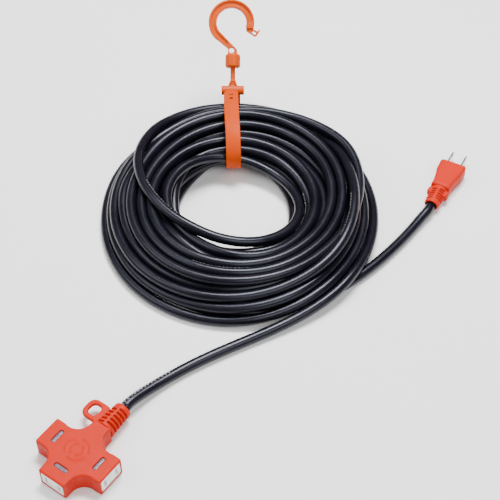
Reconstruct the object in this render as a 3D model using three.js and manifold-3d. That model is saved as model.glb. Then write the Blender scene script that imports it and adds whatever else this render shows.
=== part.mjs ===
// Extension cord with a three-way cross tap, a two-blade plug, a coiled cord and a hanging hook.
// Millimetres, +Z up. Origin: centre of the tap's underside. The whole set lies on the plane z = 0.
import * as THREE from 'three';
import { mergeVertices } from 'three/addons/utils/BufferGeometryUtils.js';
import Module from 'manifold-3d';

const wasm = await Module();
wasm.setup();

// ---------------------------------------------------------------- driving dimensions
const GAP = 0.3; // clearance kept between touching pieces
const CORD_D = 8.8;
const BORE_R = CORD_D / 2 + GAP;
const CORE_R = 1.45; // insulated conductor inside the jacket
const CORE_OFFSET = 2.2; // each conductor's distance from the cord's axis
const BLADE_PITCH = 12.7; // two flat blades, 100 V two-pole pattern
const BLADE_SIDE = BLADE_PITCH / 2;

const TAP = {
  turn: 54.3, // the cord arm's heading in plan, degrees from +X
  thick: 17.5,
  edge: 1.5, // rounding of the top and bottom edges
  armHalf: 12.6,
  sideReach: 31.6,
  frontReach: 30,
  cordReach: 28.3,
  cordHalf: 7.7,
  cordFilletX: 23.8, // centre of the fillet on each side of the cord arm
  frontFillet: 11,
  cordFillet: 11.8,
  wall: 1.85,
  cavityHalf: 9.5,
};
const TAP_MID = TAP.thick / 2;

const OUTLET = { half: 11.1, high: 13.2, deep: 8.5, slotWide: 2.2, slotHigh: 7.5 };
const WINDOW = { long: 12, wide: 3.2, high: 1.25, inset: 11.2 };
const CLIP = { long: 9.6, high: 6.5, half: 1.6, leaf: 0.6 };
const BAR = { wide: 4, thick: 0.8 };
const CRIMP = { r: 1.5, long: 4.2 };

const TAP_BOOT = { from: 28.6, to: 51.9, r0: 8.6, r1: 6.9, flat: 0.93, grooves: 5, deep: 1.3, spine: 2 };
const LOOP = {
  from: 28.9,
  to: 46.8,
  root: 3, // where the loop starts inside the boot
  reach: 25.6,
  thick: 3.6,
  round: 6.5,
  rim: 4,
  holeFrom: 12.6,
  holeRound: 3.2,
};

const PLUG = {
  at: [299.1, 280.7], // plan position of the joint between the body and its boot
  turn: 62.4,
  long: 35,
  neckHalf: 8.8,
  faceHalf: 12.5,
  thick: 14,
  round: 3,
  edge: 2,
};
const PLUG_MID = PLUG.thick / 2 + 0.1;
const PLUG_BOOT = {
  long: 21,
  collar: 9,
  half: 9.6, // the collar's half width over its two grip ears
  neckHalf: 8.2,
  halfThick: 6.4,
  corner: 1.5,
  r0: 6.9,
  r1: 5.8,
  grooves: 4,
  deep: 0.9,
  spine: 1.6,
};
const BLADE = { thick: 1.5, wide: 6.3, out: 16.5, hole: 1.5 };

const COIL = { at: [118, 248.7], r: 89, half: 32.5, high: 38, stretch: 1.085, lift: 2.6, swell: 1.14 };

const STRAP = { wide: 13.4, thick: 2, slot: 3, slotHigh: 1.9, slotsAt: [4.9, 9.9] };
const TONGUE = { half: 3.5, down: 7, up: 2.5, thick: 1.4 }; // under the strap's front leg
const PEG = { half: 1.1, halfHigh: 0.6, proud: 0.8 }; // on the tongue, through the first slot
const HANGER = { at: [111.5, 372.7, 47], tilt: 42 };
const TBAR = { long: 20.9, r: 4.3 };
const FOOT = { wide: 10.2, from: 1.4, to: 9, thick: 5.4 };
const STEM = { r: 2.3, top: 29, headR: 3.7, headThick: 2.4 };
const BARREL = { r: 7, from: 20.8, to: 33.6, round: 1.8, cavityR: 4.4 };
const HOOK = { cx: -1.2, cy: 62.9, r: 17.6, wide: 7.4, thick: 5.6, start: -18, end: 220.7 };
const NECK = { left: -5, right: 4, shoulder: 36.5, blend: 38.5, eye: [-1.2, 36.9], eyeR: 2.5 };
const TIP = {
  inside: [[12.4, 56.4], [12.3, 54.4], [14.2, 53.7]], // the inner edge, then a curve by its control point
  catch: [[20.6, 49.7], [22.2, 50.6], [25.6, 55.6], [24.6, 56.4], [23, 54.6], [20.2, 56.3]],
  eye: [[17.6, 53.5], [19.2, 54.9], [21.9, 53.3], [20.6, 51.5]],
};

// ---------------------------------------------------------------- materials
const material = (color, roughness, metalness = 0) =>
  new THREE.MeshStandardMaterial({ color, roughness, metalness });
const ORANGE = material('#e0512f', 0.5);
const BAND_ORANGE = material('#f0682c', 0.45);
const JACKET = material('#17171b', 0.35);
const WHITE = material('#eeeeec', 0.4);
const LENS = material('#b9a9b6', 0.3);
const STEEL = material('#c9ccd0', 0.25, 1);
const BRASS = material('#c8a04a', 0.35, 1);
const CARRIER = material('#8d8a84', 0.6);
const CORE_WHITE = material('#dedede', 0.5);
const CORE_BLACK = material('#202020', 0.5);
const LAMP = material('#c9d8c0', 0.3);

// ---------------------------------------------------------------- helpers
const rad = THREE.MathUtils.degToRad;

function manifoldOf(geometry) {
  const bare = geometry.clone();
  bare.deleteAttribute('normal');
  bare.deleteAttribute('uv');
  const merged = mergeVertices(bare, 1e-5);
  return new wasm.Manifold(new wasm.Mesh({
    numProp: 3,
    vertProperties: new Float32Array(merged.attributes.position.array),
    triVerts: new Uint32Array(merged.index.array),
  }));
}

function geometryOf(manifold) {
  const mesh = manifold.getMesh();
  const geometry = new THREE.BufferGeometry();
  geometry.setAttribute('position', new THREE.BufferAttribute(new Float32Array(mesh.vertProperties), 3));
  geometry.setIndex(new THREE.BufferAttribute(new Uint32Array(mesh.triVerts), 1));
  return geometry;
}

const join = (...parts) => geometryOf(parts.map(manifoldOf).reduce((sum, part) => sum.add(part)));
const cut = (base, ...tools) =>
  geometryOf(tools.map(manifoldOf).reduce((rest, tool) => rest.subtract(tool), manifoldOf(base)));

// A box given by its low and high corners.
function block(low, high) {
  const size = low.map((v, i) => high[i] - v);
  return new THREE.BoxGeometry(...size).translate(...low.map((v, i) => v + size[i] / 2));
}

// A cylinder along +X from x0 to x1.
function rod(r, x0, x1, y = 0, z = 0, sides = 16) {
  const upright = new THREE.CylinderGeometry(r, r, x1 - x0, sides);
  return upright.rotateZ(-Math.PI / 2).translate((x0 + x1) / 2, y, z);
}

// A plan outline raised from z0 to z1, with its top and bottom edges rounded by `edge`.
function slab(shape, z0, z1, edge = 0, curveSegments = 8) {
  return new THREE.ExtrudeGeometry(shape, {
    depth: z1 - z0 - 2 * edge,
    bevelEnabled: edge > 0,
    bevelThickness: edge,
    bevelSize: edge,
    bevelOffset: -edge,
    bevelSegments: 2,
    curveSegments,
  }).translate(0, 0, z0 + edge);
}

// A slot-shaped outline: a rectangle along Y with round ends.
function pill(long, wide, cx, cy) {
  const r = wide / 2;
  const straight = long / 2 - r;
  const shape = new THREE.Shape();
  shape.absarc(cx, cy + straight, r, 0, Math.PI, false);
  shape.absarc(cx, cy - straight, r, Math.PI, 2 * Math.PI, false);
  return shape;
}

// A rectangle with rounded corners.
function roundedRectangle(x0, x1, y0, y1, r) {
  const shape = new THREE.Shape();
  shape.absarc(x1 - r, y0 + r, r, -Math.PI / 2, 0, false);
  shape.absarc(x1 - r, y1 - r, r, 0, Math.PI / 2, false);
  shape.absarc(x0 + r, y1 - r, r, Math.PI / 2, Math.PI, false);
  shape.absarc(x0 + r, y0 + r, r, Math.PI, 1.5 * Math.PI, false);
  return shape;
}

// A round tube of radius r along a smooth curve through the points.
function tube(points, r, steps, sides) {
  const circle = new THREE.Shape();
  circle.absarc(0, 0, r, 0, 2 * Math.PI, false);
  const extrudePath = new THREE.CatmullRomCurve3(points.map((p) => new THREE.Vector3(...p)));
  return new THREE.ExtrudeGeometry(circle, { steps, curveSegments: sides / 2, extrudePath });
}

// A ribbed cone along X, from radius r0 at x0 to r1 at x1, with ring grooves crossed by four spines.
function ribbedCone({ x0, x1, r0, r1, grooves, deep, spine, start }) {
  const radius = (x) => THREE.MathUtils.mapLinear(x, x0, x1, r0, r1);
  const direction = Math.sign(x1 - x0);
  const pitch = (Math.abs(x1 - x0) - start - 2) / grooves;
  const profile = [new THREE.Vector2(0, x0), new THREE.Vector2(r0, x0)];
  for (let i = 0; i < grooves; i += 1) {
    const near = x0 + direction * (start + i * pitch);
    const far = near + direction * pitch * 0.5;
    profile.push(new THREE.Vector2(radius(near), near));
    profile.push(new THREE.Vector2(radius(near) - deep, near + direction * 0.2));
    profile.push(new THREE.Vector2(radius(far) - deep, far - direction * 0.2));
    profile.push(new THREE.Vector2(radius(far), far));
  }
  profile.push(new THREE.Vector2(r1, x1 - direction * 0.8));
  profile.push(new THREE.Vector2(r1 - 0.8, x1), new THREE.Vector2(0, x1));
  const points = direction > 0 ? profile : profile.reverse();
  const cone = new THREE.LatheGeometry(points, 20).rotateZ(-Math.PI / 2);
  const low = Math.min(x0 + direction, x1 - direction * 2);
  const high = Math.max(x0 + direction, x1 - direction * 2);
  const reach = r1 - 0.3;
  const upright = block([low, -spine / 2, -reach], [high, spine / 2, reach]);
  const level = block([low, -reach, -spine / 2], [high, reach, spine / 2]);
  return join(cone, upright, level);
}

const object = new THREE.Group();

function add(parent, name, geometry, look) {
  const mesh = new THREE.Mesh(geometry, look);
  mesh.name = name;
  parent.add(mesh);
}

// ---------------------------------------------------------------- tap: cross-shaped moulding
const tap = new THREE.Group();
tap.rotation.z = rad(TAP.turn);
object.add(tap);

// The three outlets, each drawn with +X pointing out of its arm. `live` is the side of the live blade.
const OUTLETS = [
  { name: 'left', turn: 90, reach: TAP.sideReach, live: -1 },
  { name: 'right', turn: -90, reach: TAP.sideReach, live: 1 },
  { name: 'front', turn: 180, reach: TAP.frontReach, live: 1 },
];
const turned = (geometry, outlet) => geometry.rotateZ(rad(outlet.turn));

function crossOutline() {
  const { armHalf, sideReach, frontReach, cordReach, cordHalf, frontFillet, cordFillet } = TAP;
  const cordX = TAP.cordFilletX;
  const cordY = cordHalf + cordFillet;
  const meet = Math.acos((armHalf - cordX) / cordFillet);
  const f = armHalf + frontFillet;
  const shape = new THREE.Shape();
  shape.moveTo(cordReach, -cordHalf);
  shape.lineTo(cordReach, cordHalf);
  shape.absarc(cordX, cordY, cordFillet, -Math.PI / 2, meet - 2 * Math.PI, true);
  shape.lineTo(armHalf, sideReach);
  shape.lineTo(-armHalf, sideReach);
  shape.absarc(-f, f, frontFillet, 0, -Math.PI / 2, true);
  shape.lineTo(-frontReach, armHalf);
  shape.lineTo(-frontReach, -armHalf);
  shape.absarc(-f, -f, frontFillet, Math.PI / 2, 0, true);
  shape.lineTo(-armHalf, -sideReach);
  shape.lineTo(armHalf, -sideReach);
  shape.absarc(cordX, -cordY, cordFillet, -meet, -1.5 * Math.PI, true);
  return shape;
}

function tapBody() {
  const low = TAP.wall;
  const high = TAP.thick - TAP.wall;
  const half = TAP.cavityHalf;
  const shoulder = OUTLET.deep + 2 * GAP;
  const tools = [
    block([-TAP.frontReach + shoulder - 1, -half, low], [half, half, high]),
    block([-half, -TAP.sideReach + shoulder - 1, low], [half, TAP.sideReach - shoulder + 1, high]),
    rod(BORE_R, half - 1, TAP.cordReach + 1, 0, TAP_MID),
  ];
  for (const outlet of OUTLETS) {
    const wide = OUTLET.half + GAP;
    const pocket = block([outlet.reach - shoulder, -wide, low], [outlet.reach + 1, wide, high]);
    tools.push(turned(pocket, outlet));
    const opening = pill(WINDOW.long + 2 * GAP, WINDOW.wide + 2 * GAP, outlet.reach - WINDOW.inset, 0);
    tools.push(turned(slab(opening, high - 1, TAP.thick + 1), outlet));
  }
  return cut(slab(crossOutline(), 0, TAP.thick, TAP.edge), ...tools);
}
add(tap, 'tap_body', tapBody(), ORANGE);

function tapBoot() {
  const { from, to, r0, r1, flat, grooves, deep, spine } = TAP_BOOT;
  const cone = ribbedCone({ x0: from, x1: to, r0, r1, grooves, deep, spine, start: 0.8 });
  cone.scale(1, 1, flat).translate(0, 0, TAP_MID);
  const { rim } = LOOP;
  const ring = roundedRectangle(LOOP.from, LOOP.to, LOOP.root, LOOP.reach, LOOP.round);
  ring.holes.push(roundedRectangle(
    LOOP.from + rim, LOOP.to - rim, LOOP.holeFrom, LOOP.reach - rim, LOOP.holeRound));
  const loop = slab(ring, TAP_MID - LOOP.thick / 2, TAP_MID + LOOP.thick / 2, 0.8, 6);
  return cut(join(cone, loop), rod(BORE_R, from - 1, to + 1, 0, TAP_MID));
}
add(tap, 'tap_boot', tapBoot(), ORANGE);

// ---------------------------------------------------------------- tap: insulating carrier and contacts
const carrierHalf = TAP.cavityHalf - GAP;
const carrierLow = TAP.wall + GAP;
const carrierHigh = TAP.thick - TAP.wall - GAP;
const PLATE = 1.5;
const plateReach = OUTLET.deep + 3 * GAP;
const BAR_LEVEL = { live: carrierLow + PLATE + GAP, neutral: carrierHigh - PLATE - GAP - BAR.thick };

function carrierPlate(z0) {
  const half = carrierHalf;
  const side = TAP.sideReach - plateReach;
  const front = TAP.frontReach - plateReach;
  return join(
    block([-front, -half, z0], [half, half, z0 + PLATE]),
    block([-half, -side, z0], [half, side, z0 + PLATE]),
  );
}

function carrierBase() {
  const top = carrierHigh - PLATE - GAP;
  const post = new THREE.CylinderGeometry(2.5, 2.5, top - carrierLow, 12).rotateX(Math.PI / 2);
  post.translate(0, 0, (top + carrierLow) / 2);
  const ribs = OUTLETS.map((outlet) =>
    turned(block([11, -1.2, carrierLow + 0.5], [outlet.reach - plateReach, 1.2, top]), outlet));
  return join(carrierPlate(carrierLow), post, ...ribs);
}
add(tap, 'contact_carrier', carrierBase(), CARRIER);

function carrierCover() {
  const holes = OUTLETS.map((outlet) => {
    const hole = pill(WINDOW.long - 2, WINDOW.wide - 0.4, outlet.reach - WINDOW.inset, 0);
    return turned(slab(hole, carrierHigh - PLATE - 1, carrierHigh + 1), outlet);
  });
  return cut(carrierPlate(carrierHigh - PLATE), ...holes);
}
add(tap, 'carrier_cover', carrierCover(), CARRIER);

// Each bus bar is a strip that joins the two side outlets, with a branch to the front outlet.
function busBar(level, x, branchSide) {
  const half = BAR.wide / 2;
  const side = 21.5;
  const front = 19.9;
  return join(
    block([x - half, -side, level], [x + half, side, level + BAR.thick]),
    block(
      [-front, branchSide * BLADE_SIDE - half, level],
      [x + half, branchSide * BLADE_SIDE + half, level + BAR.thick],
    ),
  );
}
add(tap, 'live_bus_bar', busBar(BAR_LEVEL.live, BLADE_SIDE, -1), BRASS);
add(tap, 'neutral_bus_bar', busBar(BAR_LEVEL.neutral, -BLADE_SIDE, 1), BRASS);

function outletFace(outlet) {
  const out = outlet.reach - GAP;
  const face = block(
    [out - OUTLET.deep, -OUTLET.half, TAP_MID - OUTLET.high / 2],
    [out, OUTLET.half, TAP_MID + OUTLET.high / 2],
  );
  const slots = [-1, 1].map((side) => block(
    [out - OUTLET.deep - 1, side * BLADE_SIDE - OUTLET.slotWide / 2, TAP_MID - OUTLET.slotHigh / 2],
    [out + 1, side * BLADE_SIDE + OUTLET.slotWide / 2, TAP_MID + OUTLET.slotHigh / 2],
  ));
  return turned(cut(face, ...slots), outlet);
}

// A U-shaped spring clip: two leaves that grip the blade, joined at their inner end.
function contactClip(outlet, side, z0) {
  const x0 = outlet.reach - plateReach - CLIP.long;
  const y = side * BLADE_SIDE;
  const shape = new THREE.Shape();
  shape.moveTo(x0, y - CLIP.half);
  shape.lineTo(x0 + CLIP.long, y - CLIP.half);
  shape.lineTo(x0 + CLIP.long, y - CLIP.half + CLIP.leaf);
  shape.lineTo(x0 + CLIP.leaf, y - CLIP.half + CLIP.leaf);
  shape.lineTo(x0 + CLIP.leaf, y + CLIP.half - CLIP.leaf);
  shape.lineTo(x0 + CLIP.long, y + CLIP.half - CLIP.leaf);
  shape.lineTo(x0 + CLIP.long, y + CLIP.half);
  shape.lineTo(x0, y + CLIP.half);
  return turned(slab(shape, z0, z0 + CLIP.high), outlet);
}

for (const outlet of OUTLETS) {
  const windowX = outlet.reach - WINDOW.inset;
  const lensLow = carrierHigh + GAP;
  const lens = slab(pill(WINDOW.long, WINDOW.wide, windowX, 0), lensLow, lensLow + WINDOW.high);
  const liveClip = contactClip(outlet, outlet.live, BAR_LEVEL.live + BAR.thick + GAP);
  const neutralClip = contactClip(outlet, -outlet.live, BAR_LEVEL.neutral - GAP - CLIP.high);
  const lamp = rod(0.95, -4.1, 4.1, 0, 0, 10).rotateZ(Math.PI / 2);
  lamp.translate(windowX, 0, carrierHigh - 0.85);
  add(tap, `outlet_face_${outlet.name}`, outletFace(outlet), WHITE);
  add(tap, `live_contact_${outlet.name}`, liveClip, BRASS);
  add(tap, `neutral_contact_${outlet.name}`, neutralClip, BRASS);
  add(tap, `window_lens_${outlet.name}`, turned(lens, outlet), LENS);
  add(tap, `pilot_lamp_${outlet.name}`, turned(lamp, outlet), LAMP);
}

// The cord's end inside the tap: its jacket, then the two conductors up to the crimps on the bars.
const jacketEnd = TAP.cavityHalf + 4;
const coreGap = 0.8; // a slanted conductor's end stays this far from the piece that it enters
const liveCrimpZ = BAR_LEVEL.live + BAR.thick + GAP + CRIMP.r;
const neutralCrimpZ = BAR_LEVEL.neutral - GAP - CRIMP.r;
const neutralY = -4.4; // the neutral conductor passes beside the carrier's centre post
add(tap, 'tap_jacket_end', rod(CORD_D / 2, jacketEnd, TAP_BOOT.to - GAP, 0, TAP_MID, 16), JACKET);
const crimp = (x, y, z) => rod(CRIMP.r, x, x + CRIMP.long, y, z, 12);
add(tap, 'tap_live_crimp', crimp(BLADE_SIDE - 2, 2.6, liveCrimpZ), BRASS);
add(tap, 'tap_neutral_crimp', crimp(-BLADE_SIDE - 2, neutralY, neutralCrimpZ), BRASS);
add(tap, 'tap_live_core', tube([
  [jacketEnd - coreGap, CORE_OFFSET, TAP_MID],
  [BLADE_SIDE - 2 + CRIMP.long + coreGap, 2.6, liveCrimpZ],
], CORE_R, 2, 8), CORE_BLACK);
add(tap, 'tap_neutral_core', tube([
  [jacketEnd - coreGap, -CORE_OFFSET, TAP_MID],
  [6, -3.6, 9.5],
  [0, neutralY - 0.2, neutralCrimpZ - 0.3],
  [-BLADE_SIDE - 2 + CRIMP.long + coreGap, neutralY, neutralCrimpZ],
], CORE_R, 8, 8), CORE_WHITE);

// ---------------------------------------------------------------- plug: +X points along the blades
const plug = new THREE.Group();
plug.position.set(...PLUG.at, PLUG_MID);
plug.rotation.z = rad(PLUG.turn);
object.add(plug);

function plugOutline() {
  const { long, neckHalf, faceHalf, round } = PLUG;
  const shape = new THREE.Shape();
  shape.moveTo(0, -neckHalf);
  shape.quadraticCurveTo(long * 0.3, -neckHalf, long * 0.6, -faceHalf + 0.7);
  shape.lineTo(long - round, -faceHalf);
  shape.absarc(long - round, -faceHalf + round, round, -Math.PI / 2, 0, false);
  shape.absarc(long - round, faceHalf - round, round, 0, Math.PI / 2, false);
  shape.lineTo(long * 0.6, faceHalf - 0.7);
  shape.quadraticCurveTo(long * 0.3, neckHalf, 0, neckHalf);
  return shape;
}

const BRIDGE = { from: 22.3, half: 9.4, halfThick: 3.9 };
const WELL = { from: 6.8, half: 7.95, halfThick: 3.7 }; // space for the crimps behind the bridge

function plugBody() {
  const { long, thick, edge } = PLUG;
  const body = slab(plugOutline(), -thick / 2, thick / 2, edge);
  const pocketHalf = BRIDGE.half + GAP;
  const pocketThick = BRIDGE.halfThick + GAP;
  return cut(
    body,
    block([BRIDGE.from - GAP, -pocketHalf, -pocketThick], [long + 1, pocketHalf, pocketThick]),
    block([WELL.from, -WELL.half, -WELL.halfThick], [BRIDGE.from, WELL.half, WELL.halfThick]),
    rod(BORE_R, -1, WELL.from + 1),
  );
}
add(plug, 'plug_body', plugBody(), ORANGE);

function plugBridge() {
  const body = block(
    [BRIDGE.from, -BRIDGE.half, -BRIDGE.halfThick],
    [PLUG.long, BRIDGE.half, BRIDGE.halfThick],
  );
  const slots = [-1, 1].map((side) => block(
    [BRIDGE.from - 1, side * BLADE_SIDE - BLADE.thick / 2 - GAP, -BLADE.wide / 2 - GAP],
    [PLUG.long + 1, side * BLADE_SIDE + BLADE.thick / 2 + GAP, BLADE.wide / 2 + GAP],
  ));
  return cut(body, ...slots);
}
add(plug, 'plug_bridge', plugBridge(), CARRIER);

// A flat blade with a cropped tip and a round hole, drawn on its side and turned upright.
function blade(side) {
  const tail = BRIDGE.from - 4;
  const tip = PLUG.long + BLADE.out;
  const half = BLADE.wide / 2;
  const crop = 1.6;
  const shape = new THREE.Shape();
  shape.moveTo(tail, -half);
  shape.lineTo(tip - crop, -half);
  shape.lineTo(tip, -half + crop);
  shape.lineTo(tip, half - crop);
  shape.lineTo(tip - crop, half);
  shape.lineTo(tail, half);
  const hole = new THREE.Path();
  hole.absarc(tip - 4, 0, BLADE.hole, 0, 2 * Math.PI, true);
  shape.holes.push(hole);
  const flat = slab(shape, -BLADE.thick / 2, BLADE.thick / 2, 0, 6);
  return flat.rotateX(Math.PI / 2).translate(0, side * BLADE_SIDE, 0);
}

for (const [name, side, look] of [['live', -1, CORE_BLACK], ['neutral', 1, CORE_WHITE]]) {
  const crimpFrom = BRIDGE.from - 4 - GAP - CRIMP.long;
  add(plug, `plug_blade_${name}`, blade(side), STEEL);
  add(plug, `plug_${name}_crimp`, crimp(crimpFrom, side * BLADE_SIDE, 0), BRASS);
  add(plug, `plug_${name}_core`, tube([
    [4 + coreGap, side * CORE_OFFSET, 0],
    [6.4, side * (CORE_OFFSET + 0.4), 0],
    [crimpFrom - coreGap, side * BLADE_SIDE, 0],
  ], CORE_R, 4, 8), look);
}
add(plug, 'plug_jacket_end', rod(CORD_D / 2, -PLUG_BOOT.long + GAP, 4, 0, 0, 16), JACKET);

// The boot: a collar with a grip ear on each side, then a ribbed cone over the cord.
function plugBoot() {
  const { long, collar, half, neckHalf, halfThick, corner, r0, r1, grooves, deep, spine } = PLUG_BOOT;
  const cone = ribbedCone({ x0: -collar + 1, x1: -long, r0, r1, grooves, deep, spine, start: 1.5 });
  const shape = new THREE.Shape();
  shape.moveTo(-GAP, -neckHalf);
  shape.lineTo(-GAP, neckHalf);
  shape.lineTo(-2 * corner, half);
  shape.lineTo(corner - collar, half);
  shape.lineTo(-collar, half - corner);
  shape.lineTo(-collar, corner - half);
  shape.lineTo(corner - collar, -half);
  shape.lineTo(-2 * corner, -half);
  return cut(join(slab(shape, -halfThick, halfThick, 1.2), cone), rod(BORE_R, -long - 1, 1));
}
add(plug, 'plug_boot', plugBoot(), ORANGE);

// ---------------------------------------------------------------- cord: two free tails and the coil
const cordR = CORD_D / 2;
const tapHeading = rad(TAP.turn);
const tapExit = TAP_BOOT.to + GAP;
const tapPoint = (distance) => [distance * Math.cos(tapHeading), distance * Math.sin(tapHeading), TAP_MID];
const TAP_TAIL = [
  tapPoint(tapExit),
  tapPoint(tapExit + 9),
  [49, 63.5, 6],
  [64.2, 77, cordR],
  [81.2, 88.8, cordR],
  [99.3, 100.8, cordR],
  [124, 117, cordR],
];
add(object, 'cord_to_tap', tube(TAP_TAIL, cordR, 10, 10), JACKET);

const plugHeading = rad(PLUG.turn);
const plugPoint = (distance) => [
  PLUG.at[0] - distance * Math.cos(plugHeading),
  PLUG.at[1] - distance * Math.sin(plugHeading),
  PLUG_MID,
];
const PLUG_TAIL = [
  plugPoint(PLUG_BOOT.long + GAP),
  plugPoint(PLUG_BOOT.long + 8),
  [278.5, 246.8, 5.6],
  [268.5, 232.5, cordR],
  [258.2, 218, cordR],
  [248.4, 205, cordR],
  [237, 192, cordR],
  [224.5, 181, cordR],
  [213.5, 173, cordR],
];
add(object, 'cord_to_plug', tube(PLUG_TAIL, cordR, 10, 10), JACKET);

// The coil's outer shape: an oval ring, fatter where the strap holds it and lifted a little over it.
function coil() {
  const { at, r, half, high, stretch, lift, swell } = COIL;
  const profile = [];
  for (let i = 0; i <= 16; i += 1) {
    const a = (-2 * Math.PI * i) / 16;
    profile.push(new THREE.Vector2(r + Math.cos(a) * half, Math.sin(a) * high / 2));
  }
  profile[16].copy(profile[0]);
  const ring = new THREE.LatheGeometry(profile.reverse(), 48).rotateX(Math.PI / 2);
  const position = ring.attributes.position;
  for (let i = 0; i < position.count; i += 1) {
    const away = Math.atan2(position.getX(i), position.getY(i)); // 0 on the strap's side
    const near = Math.max(0, Math.cos(away));
    const fatter = 1 + (swell - 1) * near ** 2;
    const radius = Math.hypot(position.getX(i), position.getY(i));
    const widened = (r + (radius - r) * fatter) / radius;
    position.setX(i, position.getX(i) * widened);
    position.setY(i, position.getY(i) * widened * stretch);
    position.setZ(i, (position.getZ(i) + high / 2) * fatter + lift * near ** 4);
  }
  return ring.translate(at[0], at[1], 0);
}
add(object, 'cord_coil', coil(), JACKET);

// ---------------------------------------------------------------- hanger: strap, buckle and swivel hook
// The hanger's own frame: +Y up the stem, +Z square to the hook's face, origin at the T-bar's centre.
const hanger = new THREE.Group();
hanger.position.set(...HANGER.at);
hanger.rotation.x = rad(HANGER.tilt);
object.add(hanger);

// The strap's centre line in the YZ plane through the T-bar, relative to the T-bar's centre.
const tilt = rad(HANGER.tilt);
const upStem = new THREE.Vector2(Math.cos(tilt), Math.sin(tilt));
const offFace = new THREE.Vector2(-Math.sin(tilt), Math.cos(tilt));
const strapLevel = STRAP.thick / 2;
const fromBar = TBAR.r + GAP + strapLevel + 0.25;
const ringCurve = 2; // how far the ring's inner edge curves back across the strap's width
const bundle = {
  y: COIL.at[1] + COIL.stretch * COIL.r - ringCurve - HANGER.at[1],
  z: (COIL.high / 2) * COIL.swell + COIL.lift - HANGER.at[2],
  a: COIL.stretch * COIL.half * COIL.swell + 0.6 + ringCurve + strapLevel,
  b: (COIL.high / 2) * COIL.swell + 0.6 + strapLevel,
};
const frontEnd = offFace.clone().multiplyScalar(fromBar).addScaledVector(upStem, -1.5);
const backEnd = offFace.clone().multiplyScalar(-fromBar).addScaledVector(upStem, 2);

// The angle at which a line from `point` touches the bundle's oval; `side` picks one of the two lines.
function tangentAngle(point, side) {
  const x = (point.x - bundle.y) / bundle.a;
  const z = (point.y - bundle.z) / bundle.b;
  return Math.atan2(z, x) + side * Math.acos(1 / Math.hypot(x, z));
}
const onBundle = (angle) =>
  new THREE.Vector2(bundle.y + bundle.a * Math.cos(angle), bundle.z + bundle.b * Math.sin(angle));
const frontAngle = tangentAngle(frontEnd, 1);
const backAngle = tangentAngle(backEnd, -1) + 2 * Math.PI;
const legStart = onBundle(frontAngle);
const legAlong = legStart.clone().sub(frontEnd).normalize();
const legTilt = Math.atan2(legAlong.y, legAlong.x) - Math.PI;

function strapCentreLine() {
  const line = [frontEnd];
  const steps = 26;
  for (let i = 0; i <= steps; i += 1) {
    line.push(onBundle(THREE.MathUtils.lerp(frontAngle, backAngle, i / steps)));
  }
  line.push(backEnd);
  return line;
}

// Places a geometry drawn flat on the strap's front leg: +X across, +Y up the leg, +Z out of its face.
function onFrontLeg(geometry, distance) {
  const at = frontEnd.clone().addScaledVector(legAlong, distance);
  return geometry.rotateX(legTilt).translate(0, at.x, at.y);
}

function strap() {
  const line = strapCentreLine();
  const outer = [];
  const inner = [];
  line.forEach((point, i) => {
    const before = line[Math.max(i - 1, 0)];
    const after = line[Math.min(i + 1, line.length - 1)];
    const along = after.clone().sub(before).normalize();
    const across = new THREE.Vector2(along.y, -along.x).multiplyScalar(STRAP.thick / 2);
    outer.push(point.clone().sub(across));
    inner.push(point.clone().add(across));
  });
  const shape = new THREE.Shape([...outer, ...inner.reverse()]);
  const band = new THREE.ExtrudeGeometry(shape, { depth: STRAP.wide, bevelEnabled: false });
  // The outline's axes are (y, z): stand it up so that the extrusion runs along X.
  band.applyMatrix4(new THREE.Matrix4().makeBasis(
    new THREE.Vector3(0, 1, 0),
    new THREE.Vector3(0, 0, 1),
    new THREE.Vector3(1, 0, 0),
  )).translate(-STRAP.wide / 2, 0, 0);
  const slots = STRAP.slotsAt.map((distance) => onFrontLeg(
    block([-STRAP.slot / 2, -STRAP.slotHigh / 2, -2], [STRAP.slot / 2, STRAP.slotHigh / 2, 2]),
    distance,
  ));
  return cut(band, ...slots);
}
const strapGroup = new THREE.Group();
strapGroup.position.set(...HANGER.at);
object.add(strapGroup);
add(strapGroup, 'strap', strap(), BAND_ORANGE);

function buckle() {
  const bar = rod(TBAR.r, -TBAR.long / 2, TBAR.long / 2);
  const foot = new THREE.Shape();
  foot.moveTo(-FOOT.wide / 2, FOOT.from);
  foot.lineTo(FOOT.wide / 2, FOOT.from);
  foot.lineTo(STEM.r, FOOT.to);
  foot.lineTo(-STEM.r, FOOT.to);
  const stem = new THREE.CylinderGeometry(STEM.r, STEM.r, STEM.top, 12).translate(0, STEM.top / 2, 0);
  const head = new THREE.CylinderGeometry(STEM.headR, STEM.headR, STEM.headThick, 16);
  head.translate(0, STEM.top - STEM.headThick / 2, 0);
  // A tongue under the strap's front leg carries the peg that holds the strap by its slot.
  const under = -strapLevel - GAP;
  const tongue = onFrontLeg(block(
    [-TONGUE.half, -TONGUE.down, under - TONGUE.thick], [TONGUE.half, TONGUE.up, under]), 0);
  const peg = onFrontLeg(block(
    [-PEG.half, -PEG.halfHigh, under - TONGUE.thick / 2], [PEG.half, PEG.halfHigh, strapLevel + PEG.proud],
  ), STRAP.slotsAt[0]);
  for (const piece of [tongue, peg]) {
    piece.rotateX(-tilt);
  }
  return join(bar, slab(foot, -FOOT.thick / 2, FOOT.thick / 2), stem, head, tongue, peg);
}
add(hanger, 'buckle', buckle(), BAND_ORANGE);

function barrel() {
  const { r, from, to, round, cavityR } = BARREL;
  const headLow = STEM.top - STEM.headThick - 0.6;
  const headHigh = STEM.top + 0.6;
  const mouth = STEM.r + 0.4;
  const profile = [
    [mouth, from], [r - round, from], [r, from + round], [r, to - round], [r - round, to], [0, to],
    [0, headHigh], [cavityR, headHigh], [cavityR, headLow], [mouth, headLow], [mouth, from],
  ].map((p) => new THREE.Vector2(...p));
  return new THREE.LatheGeometry(profile, 20);
}

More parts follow.
